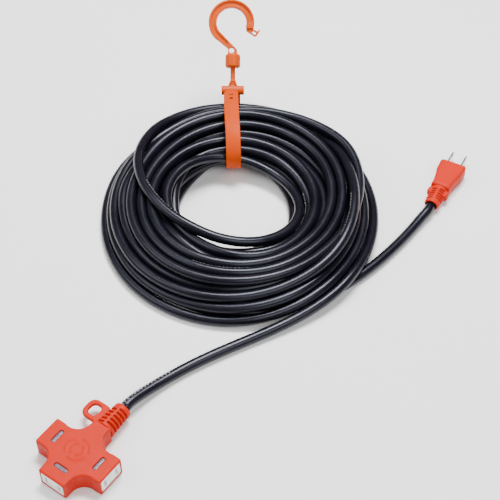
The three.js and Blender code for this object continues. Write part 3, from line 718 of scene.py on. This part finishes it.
# ------------------------------------------------------------------ floor and light
floor = mesh_object("floor", [(-9, -9, 0), (9, -9, 0), (9, 9, 0), (-9, 9, 0)], [(0, 1, 2, 3)], smooth=False)
floor.location.z = -0.0002
pale = Nodes("pale_floor")
pale.colour(pale.mix(pale.range(pale.noise(6, 3), 0, 1), (0.93, 0.93, 0.93, 1), (0.96, 0.96, 0.96, 1)))
pale.set(Roughness=0.7, Specular_IOR_Level=0.2)
floor.data.materials.append(pale.material)

world = bpy.data.worlds.new("studio")
world.use_nodes = True
world.node_tree.nodes["Background"].inputs["Color"].default_value = (1, 1, 1, 1)
world.node_tree.nodes["Background"].inputs["Strength"].default_value = 0.2
bpy.context.scene.world = world


def softbox(name, location, size, power):
    data = bpy.data.lights.new(name, "AREA")
    data.shape = "RECTANGLE"
    data.size, data.size_y = size
    data.energy = power
    lamp = bpy.data.objects.new(name, data)
    bpy.context.collection.objects.link(lamp)
    lamp.location = location
    lamp.rotation_euler = (TARGET - Vector(location)).to_track_quat("-Z", "Y").to_euler()


softbox("overhead", (0.3, 0.75, 1.6), (0.8, 0.5), 60)
softbox("left", (-1.2, 0.1, 1.4), (1.3, 1.3), 20)
softbox("front", (0.8, -1.0, 1.6), (1.4, 1.1), 27)

# ------------------------------------------------------------------ tap: shell
TAP = Matrix.Rotation(TAP_TURN, 4, "Z")
TAP_THICK = 17.5
ARM_HALF, SIDE_REACH, FRONT_REACH, CORD_REACH = 12.6, 31.6, 30.0, 28.3
CORD_HALF = 7.7
FRONT_FILLET, CORD_FILLET, CORD_FILLET_X = 11.0, 11.8, 23.8
WALL = 1.85
GAP = 0.3
CAVITY_HALF = 9.5
SHOULDER = 9.1  # depth of an outlet's pocket
OUTLET_HALF, OUTLET_HIGH, OUTLET_DEEP = 10.6, 12.6, 8.5
SLOT_WIDE, SLOT_HIGH, SLOT_CHAMFER = 2.2, 7.5, 0.45
FRAME_WIDE, FRAME_HIGH = 6.2, 10.6  # the fine line round each slot
LENS_EDGE, LENS_DOME, LENS_ROUND = 0.85, 0.4, 1.5
BLADE_SIDE = 6.35
WINDOW_LONG, WINDOW_WIDE, WINDOW_INSET = 12.0, 3.2, 11.2
BORE_R = CORD_D / MM / 2 + GAP
# (name, turn about Z in degrees, how far the outlet's face stands from the centre)
OUTLETS = [("left", 90, SIDE_REACH), ("right", -90, SIDE_REACH), ("front", 180, FRONT_REACH)]


def outlet_turn(degrees):
    return Matrix.Rotation(math.radians(degrees), 4, "Z")


def cross_outline():
    """The tap seen from above: three outlet arms and a narrower cord arm, with round inside corners."""
    corner = 1.6
    meet = math.degrees(math.acos((ARM_HALF - CORD_FILLET_X) / CORD_FILLET))
    cord_y = CORD_HALF + CORD_FILLET
    front_at = ARM_HALF + FRONT_FILLET

    def arm_end(cx, cy, start):
        return arc(cx, cy, corner, start, start + 90, 5)

    side, front = SIDE_REACH - corner, FRONT_REACH - corner
    half = ARM_HALF - corner
    return (
        [(CORD_REACH, -CORD_HALF), (CORD_REACH, CORD_HALF)]
        + arc(CORD_FILLET_X, cord_y, CORD_FILLET, -90, meet - 360, 22)
        + arm_end(half, side, 0) + arm_end(-half, side, 90)
        + arc(-front_at, front_at, FRONT_FILLET, 0, -90, 20)
        + arm_end(-front, half, 90) + arm_end(-front, -half, 180)
        + arc(-front_at, -front_at, FRONT_FILLET, 90, 0, 20)
        + arm_end(-half, -side, 180) + arm_end(half, -side, 270)
        + arc(CORD_FILLET_X, -cord_y, CORD_FILLET, -meet, -270, 22)
    )


def ring_piece(r, wide, start, end):
    """A raised arc of the emblem, angles in degrees."""
    outline = arc(0, 0, r + wide / 2, start, end, 20) + arc(0, 0, r - wide / 2, end, start, 20)
    return slab(outline, TAP_THICK - 0.6, TAP_THICK + 0.4)


def emblem():
    """A plain raised pattern on the tap's top: two broken rings."""
    outer = [ring_piece(9.2, 1.1, turn + 14, turn + 106) for turn in (30, 150, 270)]
    inner = [ring_piece(4.8, 1.1, turn + 20, turn + 160) for turn in (0, 180)]
    return outer + inner


def tap_shell():
    shell = joined(slab(cross_outline(), 0, TAP_THICK, 1.5, 6), *emblem())
    low, high = WALL, TAP_THICK - WALL
    cavity = CAVITY_HALF
    tools = [
        box((-FRONT_REACH + SHOULDER - 1, -cavity, low), (cavity, cavity, high)),
        box((-cavity, -SIDE_REACH + SHOULDER - 1, low), (cavity, SIDE_REACH - SHOULDER + 1, high)),
        rod(BORE_R, cavity - 1, CORD_REACH + 1, 0, TAP_MID),
    ]
    for _, turn, reach in OUTLETS:
        wide, tall = OUTLET_HALF + GAP, OUTLET_HIGH / 2 + GAP
        pocket = slab(rounded_rectangle(-wide, wide, TAP_MID - tall, TAP_MID + tall, 1.8),
                      reach - SHOULDER, reach + 1)
        opening = flared(pill(WINDOW_LONG + 0.5, WINDOW_WIDE + 0.5, reach - WINDOW_INSET, 0),
                         high - 1, TAP_THICK, 0.45)
        tools += [turned(turned(pocket, TO_X), outlet_turn(turn)), turned(opening, outlet_turn(turn))]
    return moulded(cut(shell, *tools), 0.36, 3)


finished(placed(tap_shell(), TAP, "tap_shell"), ORANGE, "orange_moulding", "cord_set", "tap_body")


# ------------------------------------------------------------------ tap: outlets, windows
def outlet_block(reach):
    """A white outlet: two blade slots with chamfered mouths inside a shallow frame line."""
    out = reach - GAP
    half_high = OUTLET_HIGH / 2
    face = slab(
        rounded_rectangle(-OUTLET_HALF, OUTLET_HALF, TAP_MID - half_high, TAP_MID + half_high, 1.6, 5),
        out - OUTLET_DEEP, out, 0.4, 3)
    tools = []
    for side in (-1, 1):
        y = side * BLADE_SIDE
        wide, high = SLOT_WIDE / 2, SLOT_HIGH / 2
        outline = rounded_rectangle(y - wide, y + wide, TAP_MID - high, TAP_MID + high, 0.35, 3)
        tools.append(prism(outline, [
            (out - OUTLET_DEEP - 1, 0), (out - SLOT_CHAMFER, 0),
            (out + 0.05, -SLOT_CHAMFER), (out + 1, -SLOT_CHAMFER),
        ]))
        wide, high = FRAME_WIDE / 2, FRAME_HIGH / 2
        frame_line = rounded_rectangle(y - wide, y + wide, TAP_MID - high, TAP_MID + high, 1.0, 4)
        ring = slab(frame_line, out - 0.25, out + 1)
        core = prism(inset(frame_line, 0.35).tolist(), [(out - 0.5, 0), (out + 2, 0)])
        tools.append(cut(ring, core))
    return crisp(turned(cut(face, *tools), TO_X), 0.1)


def window_lens(reach):
    """A pill-shaped window with a softly domed top."""
    low = TAP_THICK - WALL
    outline = pill(WINDOW_LONG, WINDOW_WIDE, reach - WINDOW_INSET, 0)
    dome = [
        (low + LENS_EDGE + LENS_DOME * math.sin(a), LENS_ROUND * (1 - math.cos(a)))
        for a in np.linspace(0, 1.5, 7)
    ]
    lens = prism(outline, [(low, 0.1), (low + 0.1, 0)] + dome)
    lens.data.set_sharp_from_angle(angle=math.radians(50))
    return lens


for name, turn, reach in OUTLETS:
    finished(placed(outlet_block(reach), TAP @ outlet_turn(turn), f"outlet_{name}"),
             WHITE, "outlet_white", "cord_set", f"outlet_face_{name}")
    finished(placed(window_lens(reach), TAP @ outlet_turn(turn), f"window_{name}"),
             LENS, "lens", "cord_set", f"window_lens_{name}")


# ------------------------------------------------------------------ strain reliefs
LOOP_THICK = 3.6


def step(x, low, high):
    t = min(1.0, max(0.0, (x - low) / (high - low)))
    return t * t * (3 - 2 * t)


def ribbed_boot(start, end, r0, r1, grooves, deep, first, stagger, spine, sides=112):
    """A hollow tapered boot with rows of slots in two columns, parted by a spine above and below.

    `first` is where the first slot starts, and the slots of one column stand `stagger` further on.
    """
    long = end - start
    pitch = (long - first - stagger - 2.6) / grooves
    xs = np.arange(0, long - 1.0, 0.3)
    # the far end is rounded by 1 mm
    lip = [(long - 1.0 + math.sin(a), -1.0 * (1 - math.cos(a))) for a in np.linspace(0, math.pi / 2, 6)]
    profile = [(x, r0 + (r1 - r0) * x / long) for x in xs] + [(x, r1 + d) for x, d in lip]
    profile += [(long, BORE_R), (0, BORE_R)]

    def radius(x, r, angle):
        if r <= BORE_R + 1e-6:
            return r
        # the angle runs from +Y over +Z: a quarter turn is the top
        away = min(abs(angle - math.pi / 2), abs(angle - 3 * math.pi / 2)) * r
        column = stagger if math.pi / 2 < angle < 3 * math.pi / 2 else 0.0
        where = (x - first - column) / pitch
        inside = where - math.floor(where)
        slot = step(inside, 0.02, 0.14) * (1 - step(inside, 0.50, 0.62)) if 0 <= where < grooves else 0.0
        floor_r = max(r - deep, BORE_R + GAP)
        return r - (r - floor_r) * slot * step(away, spine / 2, spine / 2 + 0.6)

    boot = revolved(profile, sides, radius)
    return turned(boot, Matrix.Translation((start, 0, 0)))


def tap_boot():
    boot = ribbed_boot(28.6, TAP_BOOT_END, 8.7, 7.1, grooves=5, deep=2.7, first=0.8, stagger=1.8, spine=2.0)
    turned(boot, Matrix.Translation((0, 0, TAP_MID)) @ Matrix.Diagonal((1, 1, 0.95, 1)))
    low, high = TAP_MID - LOOP_THICK / 2, TAP_MID + LOOP_THICK / 2
    loop = slab(rounded_rectangle(28.9, 46.8, 5.2, 25.6, 6.5, 12), low, high, 1.5, 5)
    hole = flared(rounded_rectangle(33.0, 42.8, 12.7, 21.5, 3.6, 9), low, high, 1.2)
    loop = cut(loop, hole)
    return moulded(joined(boot, loop), 0.3, 2)


finished(placed(tap_boot(), TAP, "tap_relief"), ORANGE, "orange_moulding", "cord_set", "tap_boot")

# ------------------------------------------------------------------ plug
PLUG = Matrix.Translation([v * MM for v in PLUG_AT]) @ Matrix.Rotation(PLUG_TURN, 4, "Z")
PLUG_LONG, NECK_HALF, FACE_HALF, PLUG_THICK = 35.0, 8.8, 12.5, 14.0
FACE_ROUND = 3.6
POCKET_FROM, POCKET_WIDE, POCKET_HIGH = 22.0, 9.7, 4.2  # half sizes: room for the bridge
WELL_FROM, WELL_TO, WELL_WIDE, WELL_HIGH = 6.8, 22.3, 7.95, 3.7  # half sizes: room for the crimps
BLADE_THICK, BLADE_WIDE, BLADE_OUT = 1.5, 6.3, 16.5
HOLE_R, HOLE_FROM_TIP = 1.5, 4


def curve_between(p0, p1, p2, count=10):
    """A quadratic curve from p0 to p2."""
    return [
        tuple((1 - t) ** 2 * a + 2 * t * (1 - t) * b + t * t * c for a, b, c in zip(p0, p1, p2))
        for t in np.linspace(0, 1, count)
    ]


def plug_shell():
    shoulder = PLUG_LONG * 0.6
    side = curve_between((0, -NECK_HALF), (PLUG_LONG * 0.3, -NECK_HALF), (shoulder, -FACE_HALF + 0.7))
    outline = (
        side
        + arc(PLUG_LONG - FACE_ROUND, -FACE_HALF + FACE_ROUND, FACE_ROUND, -85, 0, 9)
        + arc(PLUG_LONG - FACE_ROUND, FACE_HALF - FACE_ROUND, FACE_ROUND, 0, 85, 9)
        + [(x, -y) for x, y in side[::-1]]
    )
    shell = slab(outline, -PLUG_THICK / 2, PLUG_THICK / 2, 3.0, 7)
    mouth = rounded_rectangle(-POCKET_WIDE, POCKET_WIDE, -POCKET_HIGH, POCKET_HIGH, 0.8, 4)
    pocket = turned(slab(mouth, POCKET_FROM, PLUG_LONG + 1), TO_X)
    well = box((WELL_FROM, -WELL_WIDE, -WELL_HIGH), (WELL_TO, WELL_WIDE, WELL_HIGH))
    return moulded(cut(shell, pocket, well, rod(BORE_R, -1, 7.8)), 0.34, 3)


finished(placed(plug_shell(), PLUG, "plug_shell"), ORANGE, "orange_moulding", "cord_set", "plug_body")


def plug_boot():
    boot = ribbed_boot(GAP, PLUG_BOOT_END, 7.1, 6.0, grooves=5, deep=2.0, first=2.6, stagger=1.4,
                       spine=1.7, sides=96)
    turned(boot, Matrix.Rotation(math.pi, 4, "Z") @ Matrix.Diagonal((1, 1.1, 0.97, 1)))
    ears = slab([
        (-0.3, 8.0), (-1.2, 8.6), (-2.4, 9.6), (-6.0, 9.8), (-7.4, 9.2), (-8.6, 6.4), (-8.6, -6.4),
        (-7.4, -9.2), (-6.0, -9.8), (-2.4, -9.6), (-1.2, -8.6), (-0.3, -8.0),
    ], -3.6, 3.6, 1.6, 5)
    ears = cut(ears, rod(BORE_R, -12, 1))
    return moulded(joined(boot, ears), 0.3, 2)


finished(placed(plug_boot(), PLUG, "plug_relief"), ORANGE, "orange_moulding", "cord_set", "plug_boot")


def blade(side):
    """A flat blade with a cropped tip and a round hole, its edges slightly broken."""
    tail, tip, half, crop = 18.3, PLUG_LONG + BLADE_OUT, BLADE_WIDE / 2, 1.6
    outline = [
        (tail, -half), (tip - crop, -half), (tip - 0.5, 0.9 - half), (tip, 1.7 - half),
        (tip, half - 1.7), (tip - 0.5, half - 0.9), (tip - crop, half), (tail, half),
    ]
    flat = slab(outline, -BLADE_THICK / 2, BLADE_THICK / 2)
    hole = slab(arc(tip - HOLE_FROM_TIP, 0, HOLE_R, 0, 348, 30), -2, 2)
    upright = turned(cut(flat, hole), TO_Y)
    return crisp(turned(upright, Matrix.Translation((0, side * BLADE_SIDE, 0))), 0.18, 25)


for name, side in (("live", -1), ("neutral", 1)):
    finished(placed(blade(side), PLUG, f"blade_{name}"), NICKEL, "blade_metal", "cord_set",
             f"plug_blade_{name}")

# ------------------------------------------------------------------ hanger
HANGER_TILT = math.radians(42)
HANGER_AT = Vector((111.5, 372.7, 47.0))
HANGER = Matrix.Translation(HANGER_AT * MM) @ Matrix.Rotation(HANGER_TILT, 4, "X")
STRAP_FRAME = Matrix.Translation(HANGER_AT * MM)
STRAP_THICK, STRAP_WIDE, STRAP_CORNER = 2.0, 13.4, 3.0
UP_STEM = np.array([math.cos(HANGER_TILT), math.sin(HANGER_TILT)])
OFF_FACE = np.array([-math.sin(HANGER_TILT), math.cos(HANGER_TILT)])
BAR_R, BAR_HALF = 4.3, 10.45
FROM_BAR = BAR_R + GAP + STRAP_THICK / 2 + 0.25
SLOTS_AT = (4.9, 9.9)
RING_R, RING_HALF_WIDE, RING_HALF_HIGH, RING_LIFT = 89, 37.05, 21.66, 2.6  # the CAD's coil at the strap
RING_CURVE = 2  # how far the ring's edge curves back across the strap's width
STRAP_CLEAR = 0.6


def strap_line():
    """The strap's centre line in the YZ plane, in millimetres from the T-bar's centre."""
    middle = np.array([COIL_AT[1] / MM + STRETCH * RING_R - RING_CURVE - HANGER_AT.y,
                       RING_HALF_HIGH + RING_LIFT - HANGER_AT.z])
    half = np.array([STRETCH * RING_HALF_WIDE + STRAP_CLEAR + RING_CURVE + STRAP_THICK / 2,
                     RING_HALF_HIGH + STRAP_CLEAR + STRAP_THICK / 2])
    front, back = OFF_FACE * FROM_BAR - 1.5 * UP_STEM, -OFF_FACE * FROM_BAR + 2 * UP_STEM

    def tangent(point, side):
        p = (point - middle) / half
        return math.atan2(p[1], p[0]) + side * math.acos(1 / np.hypot(*p))

    angles = np.linspace(tangent(front, 1), tangent(back, -1) + 2 * math.pi, 110)
    oval = middle + half * np.stack([np.cos(angles), np.sin(angles)], 1)
    leg = front + (oval[0] - front) * np.linspace(0, 1, 30)[:-1, None]
    tail = oval[-1] + (back - oval[-1]) * np.linspace(0, 1, 12)[1:, None]
    return np.concatenate([leg, oval, tail])


LINE = strap_line()
LEG = (LINE[20] - LINE[0]) / np.linalg.norm(LINE[20] - LINE[0])
LEG_TURN = math.atan2(LEG[1], LEG[0]) - math.pi


def on_front_leg(obj, distance):
    """Places a piece drawn flat on the strap's front leg: X across, Y up the leg, Z out of its face."""
    at = LINE[0] + LEG * distance
    return turned(obj, Matrix.Translation((0, at[0], at[1])) @ Matrix.Rotation(LEG_TURN, 4, "X"))


def slant(along):
    """How far the strap's middle stands to the right, `along` mm from its front end."""
    return -1.5 + 2.7 * step(along, 0, 75) - 1.2 * step(along, 90, 170)


def strap():
    tangent = np.gradient(LINE, axis=0)
    tangent /= np.linalg.norm(tangent, axis=1)[:, None]
    normal = np.stack([tangent[:, 1], -tangent[:, 0]], 1)
    along = np.concatenate([[0], np.cumsum(np.linalg.norm(np.diff(LINE, axis=0), axis=1))])
    section = rounded_rectangle(-STRAP_WIDE / 2, STRAP_WIDE / 2, -STRAP_THICK / 2, STRAP_THICK / 2, 0.6, 4)
    corner = STRAP_CORNER
    verts = []
    for (y, z), (ny, nz), s in zip(LINE, normal, along):
        short = corner - math.sqrt(max(0.0, corner ** 2 - max(0.0, corner - s) ** 2))
        for across, off in section:
            x = across * (1 - short / (STRAP_WIDE / 2)) + slant(s)
            verts.append((x, y + off * ny, z + off * nz))
    n = len(section)
    faces = [
        (k * n + i, k * n + (i + 1) % n, (k + 1) * n + (i + 1) % n, (k + 1) * n + i)
        for k in range(len(LINE) - 1) for i in range(n)
    ]
    faces += [tuple(range(n))[::-1], tuple(range(n * (len(LINE) - 1), n * len(LINE)))]
    band = outward(mesh_object("band", verts, faces))
    slots = [
        on_front_leg(slab(rounded_rectangle(-1.5, 1.5, -0.95, 0.95, 0.5, 4), -3, 3), distance)
        for distance in SLOTS_AT
    ]
    for slot, distance in zip(slots, SLOTS_AT):
        turned(slot, Matrix.Translation((slant(distance), 0, 0)))
    band = cut(band, *slots)
    for polygon in band.data.polygons:
        polygon.use_smooth = True
    band.data.set_sharp_from_angle(angle=math.radians(40))
    return band


finished(placed(strap(), STRAP_FRAME, "band"), BAND, "band_orange", "cord_set", "strap")


STEM_R, STEM_TOP, HEAD_R, HEAD_THICK = 2.3, 29.0, 3.7, 2.4


def buckle():
    """T-bar with end flanges, a pocketed foot, the stem with its head, and the peg through the strap."""
    bar = rod(BAR_R - 0.1, -10.0, 10.0, edge=0.6)
    flanges = [rod(BAR_R, -BAR_HALF, -8.6, edge=0.5), rod(BAR_R, 8.6, BAR_HALF, edge=0.5)]
    foot = slab([
        (-5.1, 1.4), (5.1, 1.4), (4.6, 3.4), (STEM_R, 9.4), (-STEM_R, 9.4), (-4.6, 3.4),
    ], -2.7, 2.7, 0.7, 3)
    pocket = slab([(-3.2, 3.9), (3.2, 3.9), (2.6, 4.8), (0.9, 8.0), (-0.9, 8.0), (-2.6, 4.8)], 1.5, 4)
    up = Matrix.Rotation(math.pi / 2, 4, "Z")
    stem = turned(rod(STEM_R, 0, STEM_TOP), up)
    head = turned(rod(HEAD_R, STEM_TOP - HEAD_THICK, STEM_TOP, edge=0.4), up)
    under = -STRAP_THICK / 2 - GAP
    tongue = on_front_leg(box((-3.5, -7, under - 1.4), (3.5, 2.5, under)), 0)
    peg = slab(rounded_rectangle(-1.1, 1.1, -0.6, 0.6, 0.4, 4), under - 0.5, 1.8, 0.3, 3)
    on_front_leg(peg, SLOTS_AT[0])
    turned(peg, Matrix.Translation((slant(SLOTS_AT[0]), 0, 0)))
    for piece in (tongue, peg):
        turned(piece, Matrix.Rotation(-HANGER_TILT, 4, "X"))
    whole = joined(cut(foot, pocket), bar, *flanges, stem, head, tongue, peg)
    return moulded(whole, 0.26, 2)


finished(placed(buckle(), HANGER, "t_bar"), HOOK_ORANGE, "band_orange", "cord_set", "buckle")

# ------------------------------------------------------------------ hook
NECK_EYE = (-1.2, 36.9)
HOOK_CX, HOOK_CY, HOOK_R, HOOK_WIDE, HOOK_THICK = -1.2, 62.9, 17.6, 7.4, 5.6
BOW_START, BOW_END = 220.7, -18  # degrees
CHANNEL_HALF, CHANNEL_DEEP, CHANNEL_END = 1.7, 1.3, 2  # the groove in both faces, which ends at 2 degrees
BARREL_R, BARREL_LOW, BARREL_HIGH, BARREL_EDGE = 7.0, 20.8, 33.6, 2.2
HEAD_ROOM_R, HEAD_ROOM_LOW, HEAD_ROOM_HIGH = 4.4, 26.0, 29.6


def hook_outline():
    outer, inner = HOOK_R + HOOK_WIDE / 2, HOOK_R - HOOK_WIDE / 2
    return (
        [(-4.6, 32.8), (4, 32.8), (4, 36.5)] + curve_between((4, 36.5), (4, 38), (2.6, 39), 6)[1:]
        + arc(HOOK_CX, HOOK_CY, inner, BOW_START, BOW_END, 90)
        + curve_between((12.4, 56.4), (12.3, 54.4), (14.2, 53.7), 6)
        + [(20.6, 49.7), (22.2, 50.6), (25.6, 55.6), (24.6, 56.4), (23, 54.6), (20.2, 56.3)]
        + arc(HOOK_CX, HOOK_CY, outer, BOW_END, BOW_START, 90)
        + [(-4.6, 38.9)]
    )


def hook():
    # slab() needs a counter-clockwise outline
    points = hook_outline()
    area = sum(a[0] * b[1] - b[0] * a[1] for a, b in zip(points, points[1:] + points[:1]))
    bow = slab(points if area > 0 else points[::-1], -HOOK_THICK / 2, HOOK_THICK / 2)
    shank = (-5.6, 42.8)
    channel = (
        [(shank[0] + 1.15, shank[1] + 1.25)]
        + arc(HOOK_CX, HOOK_CY, HOOK_R - CHANNEL_HALF, BOW_START, CHANNEL_END, 80)
        + arc(*channel_tip(), CHANNEL_HALF, 180 + CHANNEL_END, 360 + CHANNEL_END, 9)[1:-1]
        + arc(HOOK_CX, HOOK_CY, HOOK_R + CHANNEL_HALF, CHANNEL_END, BOW_START, 80)
        + [(shank[0] - 1.15, shank[1] - 1.25), (shank[0] + 0.7, shank[1] - 0.7)]
    )
    cuts = [
        slab(channel, z, z + 2 * CHANNEL_DEEP)
        for z in (HOOK_THICK / 2 - CHANNEL_DEEP, -HOOK_THICK / 2 - CHANNEL_DEEP)
    ]
    cuts.append(flared(arc(*NECK_EYE, 2.5, 0, 350, 30), -HOOK_THICK / 2, HOOK_THICK / 2, 0.5))
    cuts.append(slab([(17.6, 53.5), (20.6, 51.5), (21.9, 53.3), (19.2, 54.9)], -4, 4))
    # the tip beyond the bow is a thin plate
    cuts.append(box((12.2, 40, 1.1), (30, 57.2, 4)))
    cuts.append(box((12.2, 40, -4), (30, 57.2, -1.1)))
    bow = cut(bow, *cuts)
    return moulded(joined(bow, barrel_shell()), 0.26, 3)


def channel_tip():
    a = math.radians(CHANNEL_END)
    return HOOK_CX + HOOK_R * math.cos(a), HOOK_CY + HOOK_R * math.sin(a)


def barrel_shell():
    """The swivel barrel, hollow round the stem's head."""
    solid = slab(arc(0, 0, BARREL_R, 0, 357, 120), BARREL_LOW, BARREL_HIGH, BARREL_EDGE, 7)
    cavity = slab(arc(0, 0, HEAD_ROOM_R, 0, 350, 36), HEAD_ROOM_LOW, HEAD_ROOM_HIGH)
    mouth = slab(arc(0, 0, STEM_R + 0.45, 0, 345, 24), BARREL_LOW - 1, HEAD_ROOM_LOW + 1)
    return turned(cut(solid, cavity, mouth), Matrix.Rotation(-math.pi / 2, 4, "X"))


finished(placed(hook(), HANGER, "hook_moulding"), HOOK_ORANGE, "band_orange", "hook", "hook")

# ------------------------------------------------------------------ CAD nodes that stay
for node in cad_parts.values():
    for slot in node.material_slots:
        slot.material = LOOKS[slot.material.name.split(".")[0]]
